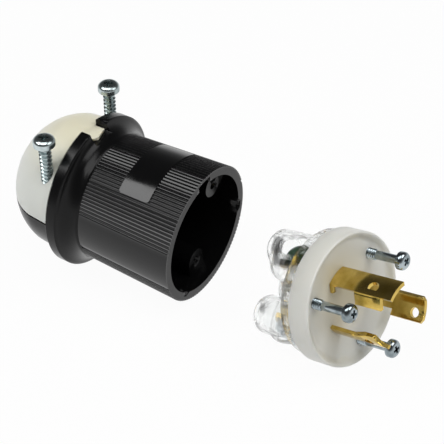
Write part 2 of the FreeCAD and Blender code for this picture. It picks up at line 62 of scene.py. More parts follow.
@dataclass(frozen=True)
class Placement:
    """Where one half of the plug lies, as its axis frame in the row's frame."""

    origin_mm: tuple[float, float, float]
    tilt_deg: float
    yaw_deg: float = 0.0

    def matrix(self) -> Matrix:
        """Work out where the half lies.

        Returns:
            The transform from the half's own frame in millimetres to the row's frame in metres.
        """
        turn = Matrix.Rotation(math.radians(self.yaw_deg), 4, "Z")
        tilt = Matrix.Rotation(math.radians(self.tilt_deg), 4, "Y")
        return Matrix.Translation(Vector(self.origin_mm) * MM) @ turn @ tilt @ Matrix.Scale(MM, 4)


HOUSING_PLACE = Placement((-3.2091, 0.0, 18.9472), 4.27425)
INSERT_PLACE = Placement((42.1709, -3.72, 18.2121), -14.76167, -9.7)
UPRIGHT = Matrix.Rotation(math.radians(-90.0), 4, "Y")


class Sharp(Enum):
    """The turn in degrees from which an edge of a piece stays sharp."""

    MOULDED = 24.0
    PLAIN = 28.0
    BLADE = 30.0
    SCREW = 40.0


def around(angle_deg: float) -> Matrix:
    """Return the turn about the plug axis from the top towards the near side."""
    return Matrix.Rotation(math.radians(angle_deg), 4, "X")


def ring_point(x: float, radius: float, angle_deg: float) -> Vector:
    """Return a point by station, radius and angle from the top towards the near side."""
    rad = math.radians(angle_deg)
    return Vector((x, -radius * math.sin(rad), radius * math.cos(rad)))


def finish_object(
    name: str,
    bm: bmesh.types.BMesh,
    place: Matrix,
    material: bpy.types.Material,
    node: str,
    sharp: Sharp,
    recalc: bool = True,
) -> bpy.types.Object:
    """Turn a bmesh into a placed, dressed piece that rides with the plug.

    Args:
        name: Name of the piece.
        bm: The mesh, in the half's own frame in millimetres. It is freed here.
        place: Transform into the row's frame.
        material: Its material.
        node: Node of the frame that the piece stands for.
        sharp: Edges that turn by more than this stay sharp.
        recalc: Whether the faces are turned outwards first.

    Returns:
        The new object.
    """
    if recalc:
        bmesh.ops.recalc_face_normals(bm, faces=bm.faces)
    bm.transform(place)
    for face in bm.faces:
        face.smooth = True
    mesh = bpy.data.meshes.new(name)
    bm.to_mesh(mesh)
    bm.free()
    mesh.set_sharp_from_angle(angle=math.radians(sharp.value))
    mesh.materials.append(material)
    piece = bpy.data.objects.new(name, mesh)
    bpy.context.scene.collection.objects.link(piece)
    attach(piece, "root")
    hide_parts(node)
    log.info("%s: %d faces", name, len(mesh.polygons))
    return piece


def node_copy(node: str) -> bmesh.types.BMesh:
    """Copy a node's mesh and merge its loose triangles.

    Args:
        node: Node of the frame.

    Returns:
        The mesh, in the row's frame in metres.
    """
    bm = bmesh.new()
    bm.from_mesh(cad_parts[node].data)
    bmesh.ops.remove_doubles(bm, verts=bm.verts, dist=NODE_WELD_M)
    return bm


def refined(
    node: str, place: Matrix, radii: Sequence[float], depth: float, longest: float = 1.1, halvings: int = 4
) -> bmesh.types.BMesh:
    """Return a finer copy of a node's mesh in its half's own frame, truly round about the axis.

    Args:
        node: Node of the frame.
        place: The half's placement.
        radii: The true radii about the axis, in millimetres.
        depth: How deep the facets lie under them.
        longest: Edges longer than this are halved.
        halvings: How many times at most.

    Returns:
        The mesh, in millimetres.
    """
    bm = node_copy(node)
    bm.transform(place.inverted())
    bmesh.ops.triangulate(bm, faces=bm.faces)
    for _ in range(halvings):
        long_edges = [edge for edge in bm.edges if edge.calc_length() > longest]
        if not long_edges:
            break
        bmesh.ops.subdivide_edges(bm, edges=long_edges, cuts=1, use_grid_fill=False)
        bmesh.ops.triangulate(bm, faces=[face for face in bm.faces if len(face.verts) > 3])
    for vert in bm.verts:
        reach = math.hypot(vert.co.y, vert.co.z)
        for radius in radii:
            if radius - depth < reach < radius + SNAP_OVER_MM:
                vert.co.y *= radius / reach
                vert.co.z *= radius / reach
    return bm


def spun(profile: Sequence[Pair], steps: int) -> bmesh.types.BMesh:
    """Spin a profile into a closed solid of revolution about X.

    Args:
        profile: Points as station and radius. The first and the last lie on the axis.
        steps: Number of segments round the axis.

    Returns:
        The mesh.
    """
    bm = bmesh.new()
    verts = [bm.verts.new((x, 0.0, r)) for x, r in profile]
    edges = [bm.edges.new(pair) for pair in zip(verts, verts[1:])]
    bmesh.ops.spin(
        bm, geom=verts + edges, cent=(0, 0, 0), axis=(1, 0, 0),
        angle=math.tau, steps=steps, use_merge=True, use_duplicate=False,
    )
    bmesh.ops.remove_doubles(bm, verts=bm.verts, dist=WELD_MM)
    return bm


def pushed(outline: Sequence[Vector], x0: float, x1: float) -> bmesh.types.BMesh:
    """Push an outline across the axis along X.

    Args:
        outline: Points across the axis. Their stations aren't used.
        x0: Station where the bar starts.
        x1: Station where it ends.

    Returns:
        The bar as a closed mesh.
    """
    bm = bmesh.new()
    face = bm.faces.new([bm.verts.new((x0, point.y, point.z)) for point in outline])
    moved = bmesh.ops.extrude_face_region(bm, geom=[face])["geom"]
    verts = [item for item in moved if isinstance(item, bmesh.types.BMVert)]
    bmesh.ops.translate(bm, verts=verts, vec=(x1 - x0, 0.0, 0.0))
    bmesh.ops.recalc_face_normals(bm, faces=bm.faces)
    return bm


def joined(parts: Iterable[bmesh.types.BMesh]) -> bmesh.types.BMesh:
    """Put several closed shells into one mesh.

    Args:
        parts: The shells. They are freed here.

    Returns:
        The mesh that holds them all.
    """
    whole = bmesh.new()
    for part in parts:
        scratch = bpy.data.meshes.new("scratch")
        part.to_mesh(scratch)
        part.free()
        whole.from_mesh(scratch)
        bpy.data.meshes.remove(scratch)
    return whole


def carved(body: bmesh.types.BMesh, cutter: bmesh.types.BMesh) -> bmesh.types.BMesh:
    """Cut one closed mesh out of another.

    Args:
        body: The mesh that is cut. It is freed here.
        cutter: The mesh that is taken away. It is freed here.

    Returns:
        What is left of the body.
    """
    objects = []
    for name, bm in (("body", body), ("cutter", cutter)):
        bmesh.ops.recalc_face_normals(bm, faces=bm.faces)
        mesh = bpy.data.meshes.new(name)
        bm.to_mesh(mesh)
        bm.free()
        item = bpy.data.objects.new(name, mesh)
        bpy.context.scene.collection.objects.link(item)
        objects.append(item)
    shape, tool = objects
    modifier = shape.modifiers.new("cut", "BOOLEAN")
    modifier.object = tool
    modifier.operation = "DIFFERENCE"
    modifier.solver = "EXACT"
    modifier.use_self = True
    graph = bpy.context.evaluated_depsgraph_get()
    result = bmesh.new()
    result.from_object(shape, graph)
    for item in objects:
        mesh = item.data
        bpy.data.objects.remove(item)
        bpy.data.meshes.remove(mesh)
    return result


# Finishes

def node_tree(name: str) -> tuple[bpy.types.Material, bpy.types.ShaderNodeTree, bpy.types.ShaderNode]:
    """Start a new material.

    Args:
        name: Name of the material.

    Returns:
        The material, its node tree and its surface shader.
    """
    material = bpy.data.materials.new(name)
    material.use_nodes = True
    tree = material.node_tree
    return material, tree, tree.nodes["Principled BSDF"]


def object_noise(tree: bpy.types.ShaderNodeTree, scale: float, detail: float = 3.0) -> bpy.types.ShaderNode:
    """Add a noise pattern on object coordinates.

    Args:
        tree: The material's node tree.
        scale: How many spots fit in a metre.
        detail: How many finer layers it has.

    Returns:
        The noise node.
    """
    coords = tree.nodes.new("ShaderNodeTexCoord")
    noise = tree.nodes.new("ShaderNodeTexNoise")
    noise.inputs["Scale"].default_value = scale
    noise.inputs["Detail"].default_value = detail
    tree.links.new(coords.outputs["Object"], noise.inputs["Vector"])
    return noise


def ranged(
    tree: bpy.types.ShaderNodeTree, source: bpy.types.NodeSocket, low: float, high: float
) -> bpy.types.NodeSocket:
    """Map a noise pattern onto a range of values.

    Args:
        tree: The material's node tree.
        source: The pattern.
        low: Value where the pattern is low.
        high: Value where it is high.

    Returns:
        The socket that carries the value.
    """
    node = tree.nodes.new("ShaderNodeMapRange")
    node.inputs["From Min"].default_value = NOISE_LOW
    node.inputs["From Max"].default_value = NOISE_HIGH
    node.inputs["To Min"].default_value = low
    node.inputs["To Max"].default_value = high
    tree.links.new(source, node.inputs["Value"])
    return node.outputs["Result"]


def mixed(
    tree: bpy.types.ShaderNodeTree, share: bpy.types.NodeSocket, first: Colour, second: Colour
) -> bpy.types.NodeSocket:
    """Mix two colours.

    Args:
        tree: The material's node tree.
        share: Socket that carries a share from nought to one.
        first: Colour where the share is nought.
        second: Colour where it is one.

    Returns:
        The socket that carries the colour.
    """
    mix = tree.nodes.new("ShaderNodeMix")
    mix.data_type = "RGBA"
    mix.inputs["A"].default_value = (*first, 1.0)
    mix.inputs["B"].default_value = (*second, 1.0)
    tree.links.new(share, mix.inputs["Factor"])
    return mix.outputs["Result"]


def grained(
    tree: bpy.types.ShaderNodeTree, shader: bpy.types.ShaderNode, scale: float, strength: float
) -> None:
    """Add a fine surface grain to a shader.

    Args:
        tree: The material's node tree.
        shader: The surface shader.
        scale: How many grains fit in a metre.
        strength: How strongly they show.
    """
    noise = object_noise(tree, scale, detail=4.0)
    bump = tree.nodes.new("ShaderNodeBump")
    bump.inputs["Strength"].default_value = strength
    bump.inputs["Distance"].default_value = GRAIN_HEIGHT_MM * MM
    tree.links.new(noise.outputs["Fac"], bump.inputs["Height"])
    tree.links.new(bump.outputs["Normal"], shader.inputs["Normal"])


@dataclass(frozen=True)
class PaintedWarmShade:
    """Painted warm shading round one point of a moulding: a warmer tone that stands in for light, shade and
    reflected colour falling there.
    """

    colour: Colour
    place: Placement
    point_mm: tuple[float, float, float]
    span_mm: Pair

    def blend(self, tree: bpy.types.ShaderNodeTree, plain: Colour) -> bpy.types.NodeSocket:
        """Blend from the painted warm shade near the point to the plain colour away from it.

        Args:
            tree: The material's node tree.
            plain: The colour away from the point.

        Returns:
            The socket that carries the colour.
        """
        coords = tree.nodes.new("ShaderNodeTexCoord")
        away = tree.nodes.new("ShaderNodeVectorMath")
        away.operation = "DISTANCE"
        away.inputs[1].default_value = tuple(self.place.matrix() @ Vector(self.point_mm))
        tree.links.new(coords.outputs["Object"], away.inputs[0])
        ramp = tree.nodes.new("ShaderNodeMapRange")
        ramp.interpolation_type = "SMOOTHSTEP"
        ramp.inputs["From Min"].default_value = self.span_mm[0] * MM
        ramp.inputs["From Max"].default_value = self.span_mm[1] * MM
        tree.links.new(away.outputs["Value"], ramp.inputs["Value"])
        return mixed(tree, ramp.outputs["Result"], self.colour, plain)


@dataclass(frozen=True)
class NylonFinish:
    """Moulded nylon: a solid colour, with painted warm shading round one point where given, a satin skin and
    some light inside it.
    """

    name: str
    colour: Colour
    roughness: Pair
    gloss: float = 0.5
    inner_glow: float = 0.0
    depth_mm: float = 2.0
    glow_colour: Colour = (1.0, 0.95, 0.85)
    painted_warm_shade: PaintedWarmShade | None = None
    mottle_scale: float = 260.0
    grain: float = 0.08
    grain_scale: float = 2600.0

    def material(self) -> bpy.types.Material:
        """Make the moulded nylon.

        Returns:
            The material.
        """
        material, tree, shader = node_tree(self.name)
        shader.inputs["Base Color"].default_value = (*self.colour, 1.0)
        shader.inputs["Specular IOR Level"].default_value = self.gloss
        # Painted light and shade: a warm tone blended into the base colour round one point.
        if self.painted_warm_shade:
            tree.links.new(self.painted_warm_shade.blend(tree, self.colour), shader.inputs["Base Color"])
        if self.inner_glow > 0.0:
            shader.inputs["Subsurface Weight"].default_value = self.inner_glow
            shader.inputs["Subsurface Radius"].default_value = self.glow_colour
            shader.inputs["Subsurface Scale"].default_value = self.depth_mm * MM
        mottle = object_noise(tree, self.mottle_scale)
        tree.links.new(ranged(tree, mottle.outputs["Fac"], *self.roughness), shader.inputs["Roughness"])
        grained(tree, shader, self.grain_scale, self.grain)
        return material


@dataclass(frozen=True)
class MetalFinish:
    """Bare or plated metal with slight clouding."""

    name: str
    colour: Colour
    dull: Colour
    roughness: Pair
    cloud_scale: float = 330.0
    grain: float = 0.05
    grain_scale: float = 1800.0

    def material(self) -> bpy.types.Material:
        """Make the metal.

        Returns:
            The material.
        """
        material, tree, shader = node_tree(self.name)
        shader.inputs["Metallic"].default_value = 1.0
        cloud = object_noise(tree, self.cloud_scale).outputs["Fac"]
        colour = mixed(tree, ranged(tree, cloud, 0.0, 1.0), self.colour, self.dull)
        tree.links.new(colour, shader.inputs["Base Color"])
        tree.links.new(ranged(tree, cloud, *self.roughness), shader.inputs["Roughness"])
        grained(tree, shader, self.grain_scale, self.grain)
        return material


@dataclass(frozen=True)
class ClearFinish:
    """Clear polycarbonate."""

    name: str
    tint: Colour = (0.96, 0.975, 0.97)
    roughness: float = 0.03
    ior: float = 1.3
    presence: float = 0.7

    def material(self) -> bpy.types.Material:
        """Make the clear plastic.

        Returns:
            The material.
        """
        material, _tree, shader = node_tree(self.name)
        shader.inputs["Base Color"].default_value = (*self.tint, 1.0)
        shader.inputs["Roughness"].default_value = self.roughness
        shader.inputs["IOR"].default_value = self.ior
        shader.inputs["Transmission Weight"].default_value = 1.0
        shader.inputs["Alpha"].default_value = self.presence
        return material


@dataclass(frozen=True)
class LacquerFinish:
    """Glossy coloured lacquer on a screw."""

    name: str
    colour: Colour
    roughness: float = 0.22
    coat: float = 0.6

    def material(self) -> bpy.types.Material:
        """Make the lacquer.

        Returns:
            The material.
        """
        material, _tree, shader = node_tree(self.name)
        shader.inputs["Base Color"].default_value = (*self.colour, 1.0)
        shader.inputs["Roughness"].default_value = self.roughness
        shader.inputs["Coat Weight"].default_value = self.coat
        return material


GLOSSY_BLACK = NylonFinish("black_nylon", (0.004, 0.004, 0.0043), (0.10, 0.16), gloss=0.41)
CALM_BLACK = NylonFinish("black_nylon_moulding", (0.004, 0.004, 0.0043), (0.17, 0.26), gloss=0.2)
# The natural nylon gets painted warm shading on the clamp's top, where the light falls.
NATURAL_NYLON = NylonFinish(
    "natural_nylon", (0.82, 0.84, 0.79), (0.3, 0.4), inner_glow=0.3, depth_mm=1.5,
    painted_warm_shade=PaintedWarmShade((0.84, 0.80, 0.62), HOUSING_PLACE, (-38.0, 2.0, 20.0), (4.0, 24.0)),
)
# The milky nylon gets painted shade and painted brass reflection, warmer and darker, round the middle of the
# face disc.
MILKY_NYLON = NylonFinish(
    "milky_nylon", (0.80, 0.80, 0.75), (0.34, 0.45), inner_glow=0.4, depth_mm=2.0,
    painted_warm_shade=PaintedWarmShade((0.70, 0.66, 0.53), INSERT_PLACE, (-1.5, -1.0, 4.0), (4.0, 15.5)),
)
BRASS = MetalFinish("brass", (0.76, 0.555, 0.16), (0.47, 0.325, 0.06), (0.10, 0.17))
ZINC = MetalFinish("zinc_plate", (0.60, 0.675, 0.68), (0.28, 0.335, 0.34), (0.18, 0.32))
# Painted shade: a darker copy of the zinc plate, standing in for the dark reflections on the screws' heads
# and threads.
SHADED_ZINC = MetalFinish("zinc_plate_painted_shade", (0.47, 0.53, 0.56), (0.16, 0.20, 0.215), (0.11, 0.22))
CLEAR = ClearFinish("clear_polycarbonate")
GREEN_LACQUER = LacquerFinish("green_lacquer", (0.002, 0.04, 0.012))


# Screws

class Drive(Enum):
    """The recess in a screw head."""

    CROSS = "cross"
    SLOT = "slot"


@dataclass(frozen=True)
class Screw:
    """A screw along +X with its head's seat at the origin.

    The sizes are in millimetres. Those of the crown, the recess and the point are shares of the head or
    the core, and the thread's depth is a share of its pitch. The bite is how far the stem reaches into the
    head, and the neck is the step from the shank down to the core.
    """

    head_radius: float
    head_height: float
    length: float
    thread_radius: float
    pitch: float
    thread_from: float = 0.0
    shank_radius: float = 0.0
    drive: Drive = Drive.CROSS
    drive_turn_deg: float = 22.0
    point: float = 0.6
    head_edge: float = 0.12
    head_side: float = 0.46
    head_flat: float = 0.42
    crown_steps: int = 10
    cross_depth: float = 0.8
    cross_long: float = 1.34
    cross_wide: float = 0.36
    cross_taper: Pair = (0.35, 0.6)
    slot_width: float = 0.9
    slot_floor: float = 0.52
    slot_tall: float = 1.2
    thread_depth: float = 0.58
    crest_fall: float = 0.03
    lap: float = 0.02
    core_over: float = 0.01
    bite: float = 0.2
    neck: float = 0.1
    point_share: float = 0.45
    head_sides: int = 48
    stem_sides: int = 32
    thread_sides: int = 28

    def core(self) -> float:
        """Return the radius at the foot of the thread."""
        return self.thread_radius - self.thread_depth * self.pitch

    def head(self) -> bmesh.types.BMesh:
        """Build the pan head with its recess.

        Returns:
            The head as a closed mesh.
        """
        radius, height, edge = self.head_radius, self.head_height, self.head_edge
        profile = [(0.0, 0.0), (0.0, radius - edge), (edge, radius)]
        for index in range(self.crown_steps + 1):
            rad = math.radians(90.0 * index / self.crown_steps)
            profile.append((
                height * (self.head_side + (1.0 - self.head_side) * math.sin(rad)),
                radius * (self.head_flat + (1.0 - self.head_flat) * math.cos(rad)),
            ))
        profile.append((height, 0.0))
        return carved(spun(profile, self.head_sides), self.recess())

    def recess(self) -> bmesh.types.BMesh:
        """Build the cutter of the recess.

        Returns:
            A bar for a slot, or two crossed bars that get narrower downwards.
        """
        bm = bmesh.new()
        if self.drive is Drive.SLOT:
            tall = self.slot_tall * self.head_height
            bmesh.ops.create_cube(bm, size=1.0)
            bmesh.ops.scale(bm, verts=bm.verts, vec=(tall, 3.0 * self.head_radius, self.slot_width))
            middle = self.slot_floor * self.head_height + tall / 2.0
            bmesh.ops.translate(bm, verts=bm.verts, vec=(middle, 0.0, 0.0))
            return bm
        size = (
            2.0 * self.cross_depth * self.head_height,
            self.cross_long * self.head_radius,
            self.cross_wide * self.head_radius,
        )
        for turn in (0.0, 90.0):
            made = bmesh.ops.create_cube(bm, size=1.0)["verts"]
            bmesh.ops.scale(bm, verts=made, vec=size)
            deep = [vert for vert in made if vert.co.x < 0]
            bmesh.ops.scale(bm, verts=deep, vec=(1.0, *self.cross_taper))
            bmesh.ops.transform(bm, matrix=around(turn + self.drive_turn_deg), verts=made)
            bmesh.ops.translate(bm, verts=made, vec=(self.head_height + self.head_edge, 0.0, 0.0))
        return bm

    def thread(self) -> bmesh.types.BMesh:
        """Build the thread as one closed helical skin.

        Returns:
            The mesh.
        """
        root, crest = self.core(), self.thread_radius
        shoulder = crest - self.crest_fall
        turns = max(1, round((self.length - self.thread_from - self.point) / self.pitch) - 1)
        start = -(self.thread_from + self.lap)
        outline = (
            (0.0, root), (0.14, root),
            (0.42, shoulder), (0.5, crest), (0.58, shoulder),
            (0.86, root), (1.0, root),
        )
        bm = bmesh.new()
        verts = [bm.verts.new((start - share * self.pitch, 0.0, radius)) for share, radius in outline]
        edges = [bm.edges.new(pair) for pair in zip(verts, verts[1:])]
        bmesh.ops.spin(
            bm, geom=verts + edges, cent=(0, 0, 0), axis=(1, 0, 0),
            dvec=(-self.pitch / self.thread_sides, 0, 0), angle=math.tau * turns,
            steps=turns * self.thread_sides, use_merge=False, use_duplicate=False,
        )
        bmesh.ops.remove_doubles(bm, verts=bm.verts, dist=THREAD_WELD_MM)
        bmesh.ops.holes_fill(bm, edges=[edge for edge in bm.edges if edge.is_boundary], sides=0)
        return bm

    def stem(self) -> bmesh.types.BMesh:
        """Build the plain core, with the shank under the head and the point.

        Returns:
            The stem as a closed mesh.
        """
        core = self.core() + self.core_over
        profile = [(self.bite, 0.0)]
        if self.shank_radius > 0.0:
            profile += [(self.bite, self.shank_radius), (-self.thread_from, self.shank_radius)]
        else:
            profile += [(self.bite, core)]
        profile += [
            (-self.thread_from - self.neck, core),
            (-self.length + self.point, core),
            (-self.length, self.point_share * core),
            (-self.length, 0.0),
        ]
        return spun(profile, self.stem_sides)

    def build(self) -> bmesh.types.BMesh:
        """Return the whole screw."""
        return joined((self.head(), self.stem(), self.thread()))


# The housing half

@dataclass
class RibbedSkin:
    """The barrel's skin: ribs, two smooth side panels and the pad.

    Each rib has a narrow crest, sloped flanks and a groove beside it. The section gives one rib from
    groove to groove, as shares of the pitch and drops under the rib's tip. The skin covers what the
    housing has between two heights about the rib tips.
    """

    mouth_radius: float = 19.0
    rear_radius: float = 17.75
    rear: float = -28.5
    pitch: float = 1.035
    sunk: float = 0.45
    covers: Pair = (-0.6, 0.2)
    rear_slack: float = 0.05
    panel_from: float = 72.0
    panel_to: float = 109.0
    panel_drop: float = 0.12
    panel_steps: int = 12
    section: tuple[Pair, ...] = (
        (0.0, 0.38), (0.12, 0.38), (0.16, 0.157), (0.28, 0.076), (0.42, 0.014), (0.52, 0.0), (0.62, 0.014),
        (0.76, 0.076), (0.96, 0.165),
    )
    pad_mid: float = 3.1
    pad_half: float = 36.1
    pad_span: Pair = (-19.1, -9.8)
    pad_corner: float = 0.8
    pad_proud: float = 0.075
    pad_sunk: float = 0.5
    pad_columns: int = 60
    pad_rows: int = 12

    def tip(self, x: float) -> float:
        """Return the rib tips' radius at a station."""
        return self.mouth_radius + (self.mouth_radius - self.rear_radius) * x / -self.rear

    def outline(self) -> list[Pair]:
        """Go once round the barrel.

        Returns:
            The skin's outline as angles and drops under the rib tips.
        """
        points = []
        panel = self.panel_to - self.panel_from
        for start, stop in ((-self.panel_from, self.panel_from), (self.panel_to, 360.0 - self.panel_to)):
            count = round(math.radians(stop - start) * self.mouth_radius / self.pitch)
            step = (stop - start) / count
            for index in range(count):
                points += [(start + (index + share) * step, drop) for share, drop in self.section]
            for index in range(1, self.panel_steps):
                points.append((stop + panel * index / self.panel_steps, self.panel_drop))
        return points

    def pad(self) -> bmesh.types.BMesh:
        """Build the smooth pad.

        Returns:
            A closed curved plate with rounded corners.
        """
        bm = bmesh.new()
        shares = [-1.0 + 2.0 * index / self.pad_columns for index in range(self.pad_columns + 1)]
        columns = [self.pad_column(bm, share) for share in shares]
        for first, second in zip(columns, columns[1:]):
            for step in range(self.pad_rows):
                for side in (0, 1):
                    corners = (first[step], second[step], second[step + 1], first[step + 1])
                    bm.faces.new([pair[side] for pair in corners])
            for step in (0, self.pad_rows):
                bm.faces.new((first[step][0], second[step][0], second[step][1], first[step][1]))
        for column in (columns[0], columns[-1]):
            for low, high in zip(column, column[1:]):
                bm.faces.new((low[0], high[0], high[1], low[1]))
        bmesh.ops.recalc_face_normals(bm, faces=bm.faces)
        return bm

    def pad_column(
        self, bm: bmesh.types.BMesh, share: float
    ) -> list[tuple[bmesh.types.BMVert, bmesh.types.BMVert]]:
        """Add one column of the pad's points.

        Args:
            bm: The pad's mesh.
            share: Where the column stands, from -1 at one side to 1 at the other.

        Returns:
            The outer and the sunk point at each row.
        """
        corner = self.pad_corner
        rest = (1.0 - abs(share)) * math.radians(self.pad_half) * self.mouth_radius
        inset = corner - math.sqrt(max(corner ** 2 - max(corner - rest, 0.0) ** 2, 0.0))
        start, stop = self.pad_span[0] + inset, self.pad_span[1] - inset
        angle = self.pad_mid + share * self.pad_half
        column = []
        for step in range(self.pad_rows + 1):
            x = start + (stop - start) * step / self.pad_rows
            outer = bm.verts.new(ring_point(x, self.tip(x) + self.pad_proud, angle))
            inner = bm.verts.new(ring_point(x, self.tip(x) - self.pad_sunk, angle))
            column.append((outer, inner))
        return column

    def build(self) -> bmesh.types.BMesh:
        """Build the skin as a closed ring, with the pad.

        Returns:
            The mesh.
        """
        bm = bmesh.new()
        rings = []
        for x, inside in ((self.rear, False), (0.0, False), (0.0, True), (self.rear, True)):
            ring = []
            for angle, drop in self.outline():
                ring.append(bm.verts.new(ring_point(x, self.tip(x) - (self.sunk if inside else drop), angle)))
            rings.append(ring)
        for first, second in zip(rings, rings[1:] + rings[:1]):
            for index in range(len(first)):
                after = (index + 1) % len(first)
                bm.faces.new((first[index], second[index], second[after], first[after]))
        return joined((bm, self.pad()))


@dataclass
class HousingHalf:
    """Black housing, natural nylon cord clamp and the two clamp screws."""

    clamp_screw: Screw = Screw(
        head_radius=2.95, head_height=2.4, length=19.05, thread_radius=1.7, pitch=1.22,
        drive_turn_deg=30.0, point=0.3,
    )
    screw_station: float = -39.9
    screw_side: float = 14.2
    underhead: float = 22.4
    ribs: RibbedSkin = field(default_factory=RibbedSkin)

    def build(self) -> None:
        """Build every piece of this half."""
        self.shell()
        self.clamp()
        for side, name in ((-1, "clamp_screw_near"), (1, "clamp_screw_far")):
            self.stand_screw(name, side)

    def shell(self) -> None:
        """Dress the ribbed housing."""
        bm = node_copy("housing")
        bm.transform(HOUSING_PLACE.matrix().inverted())
        self.sink_ribs(bm)
        place = HOUSING_PLACE.matrix()
        finish_object(
            "black_housing", bm, place, CALM_BLACK.material(),
            "housing", Sharp.MOULDED, recalc=False,
        )
        finish_object(
            "ribbed_sleeve", self.ribs.build(), place, GLOSSY_BLACK.material(),
            "housing", Sharp.PLAIN,
        )

    def sink_ribs(self, bm: bmesh.types.BMesh) -> None:
        """Sink the node's own ribs and pad under the skin.

        Args:
            bm: The housing's mesh, in its own frame in millimetres.
        """
        low, high = self.ribs.covers
        for vert in bm.verts:
            reach = math.hypot(vert.co.y, vert.co.z)
            tip = self.ribs.tip(vert.co.x)
            if vert.co.x > self.ribs.rear - self.ribs.rear_slack and low < reach - tip < high:
                share = (tip - self.ribs.sunk) / reach
                vert.co.y *= share
                vert.co.z *= share

    def clamp(self) -> None:
        """Dress the cord clamp."""
        finish_object(
            "natural_cord_clamp", node_copy("cord_clamp"), Matrix.Identity(4), NATURAL_NYLON.material(),
            "cord_clamp", Sharp.MOULDED, recalc=False,
        )

    def stand_screw(self, node: str, side: int) -> None:
        """Stand one clamp screw in the clamp.

        Args:
            node: Node of the screw.
            side: -1 for the near side, 1 for the far side.
        """
        seat = Matrix.Translation((self.screw_station, side * self.screw_side, self.underhead))
        finish_object(
            node.replace("clamp_screw", "threaded_clamp_screw"), self.clamp_screw.build(),
            HOUSING_PLACE.matrix() @ seat @ UPRIGHT, ZINC.material(), node, Sharp.SCREW,
        )


# The blade half

@dataclass
class GroundBlade:
    """The ground blade: a curved strip whose near edge is bent into two legs, with its terminal tab."""

    outer: float = 9.1
    thickness: float = 1.0
    arc: Pair = (-4.8, 34.4)
    root: float = -8.4
    tip: float = 17.0
    strip_steps: int = 24
    leg_turn: float = -9.5
    leg_lap_deg: float = 9.0
    legs: tuple[tuple[float, float, float], ...] = ((-8.4, -0.65, 2.3), (6.0, 13.8, 3.6))
    bend: float = 0.9
    bend_steps: int = 7
    heel: float = 1.1
    hole: tuple[float, float, float] = (10.7, 20.5, 1.45)
    hole_sides: int = 40
    drill_length: float = 6.0
    tab_angle: float = 8.0
    tab_half: float = 16.0
    tab_seat: float = 10.3
    tab_span: Pair = (-16.65, -7.4)
    tab_hole: Pair = (-13.5, 1.75)
    riser_gap: float = 0.05
    riser_steps: int = 8

    def band(self, r_out: float, r_in: float, span: Pair, steps: int) -> list[Vector]:
        """Draw a band about the axis.

        Args:
            r_out: Outer radius.
            r_in: Inner radius.
            span: The angles where it starts and ends.
            steps: Number of facets between them.

        Returns:
            The band's outline.
        """
        angles = [span[0] + (span[1] - span[0]) * index / steps for index in range(steps + 1)]
        outline = [ring_point(0.0, r_out, angle) for angle in angles]
        return outline + [ring_point(0.0, r_in, angle) for angle in reversed(angles)]

    def strip(self, r_out: float, span: Pair, x0: float, x1: float) -> bmesh.types.BMesh:
        """Return a curved strip between two stations."""
        return pushed(self.band(r_out, r_out - self.thickness, span, self.strip_steps), x0, x1)

    def leg(self, x0: float, x1: float, depth: float) -> bmesh.types.BMesh:
        """Build one bent leg, which starts inside the strip's near edge.

        Args:
            x0: Station where it starts.
            x1: Station where it ends.
            depth: How far it reaches down from the strip's corner.

        Returns:
            The leg as a closed mesh.
        """
        high = self.arc[1]
        corner = ring_point(0.0, self.outer, high)
        down = (around(self.leg_turn) @ Vector((0.0, 0.0, -1.0))).normalized()
        inward = (around(self.leg_turn) @ Vector((0.0, 1.0, 0.0))).normalized()
        start = ring_point(0.0, self.outer, high - math.degrees(self.bend / self.outer))
        stop = corner + down * self.bend
        points = [ring_point(0.0, self.outer, high - self.leg_lap_deg), start]
        for index in range(1, self.bend_steps):
            share = index / self.bend_steps
            points.append(start * (1 - share) ** 2 + corner * 2 * share * (1 - share) + stop * share ** 2)
        points += [
            stop,
            corner + down * depth,
            corner + down * depth + inward * self.thickness,
            corner + down * self.thickness * self.heel + inward * self.thickness,
            ring_point(0.0, self.outer - self.thickness, high - self.leg_lap_deg),
        ]
        return pushed(points, x0, x1)

    def drill(self, x: float, angle: float, radius: float) -> bmesh.types.BMesh:
        """Build the cutter of a radial hole.

        Args:
            x: Station of the hole.
            angle: Its angle about the axis.
            radius: Its radius.

        Returns:
            The cutter as a closed mesh.
        """
        bm = bmesh.new()
        bmesh.ops.create_cone(
            bm, cap_ends=True, segments=self.hole_sides, radius1=radius, radius2=radius,
            depth=self.drill_length, matrix=around(angle) @ Matrix.Translation((x, 0.0, self.outer)),
        )
        return bm

    def build(self) -> bmesh.types.BMesh:
        """Build the whole blade.

        Returns:
            The strip, the tab, the riser between them and the legs in one mesh.
        """
        blade = carved(self.strip(self.outer, self.arc, self.root, self.tip), self.drill(*self.hole))
        tab_arc = (self.tab_angle - self.tab_half, self.tab_angle + self.tab_half)
        tab = self.strip(self.tab_seat, tab_arc, *self.tab_span)
        tab = carved(tab, self.drill(self.tab_hole[0], self.tab_angle, self.tab_hole[1]))
        low, high = self.outer - self.thickness, self.tab_seat - self.riser_gap
        riser = self.band(high, low, tab_arc, self.riser_steps)
        riser = pushed(riser, self.root, self.root + self.thickness)
        return joined([blade, tab, riser] + [self.leg(*leg) for leg in self.legs])


